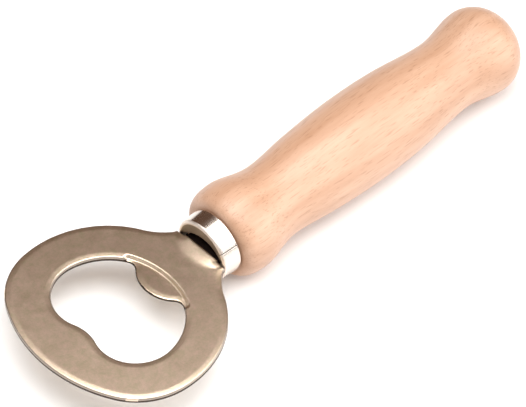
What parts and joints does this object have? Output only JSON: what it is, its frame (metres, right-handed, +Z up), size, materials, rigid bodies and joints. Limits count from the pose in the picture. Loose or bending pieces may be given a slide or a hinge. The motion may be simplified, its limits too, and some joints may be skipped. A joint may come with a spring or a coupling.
{
  "type": "bottle opener",
  "caption": "Hand bottle opener: a flat steel head with a lobed opening and lifting tooth, on a turned wooden handle with a steel ferrule.",
  "frame": {"origin": "centre of the bounding box at its bottom, the plane that the handle lies on", "axes": "+X along the handle from the head to the knob, +Y across the head, +Z up, square to the flat head"},
  "size_m": [0.164, 0.0598, 0.0256],
  "materials": {
    "head_steel": "satin nickel plate over steel, softly mottled",
    "ferrule_steel": "polished nickel plate over steel",
    "handle_wood": "turned beech under a clear satin lacquer"
  },
  "bodies": {
    "root": {"opener_head": "head_steel", "ferrule": "ferrule_steel", "handle": "handle_wood"}
  },
  "joints": []
}
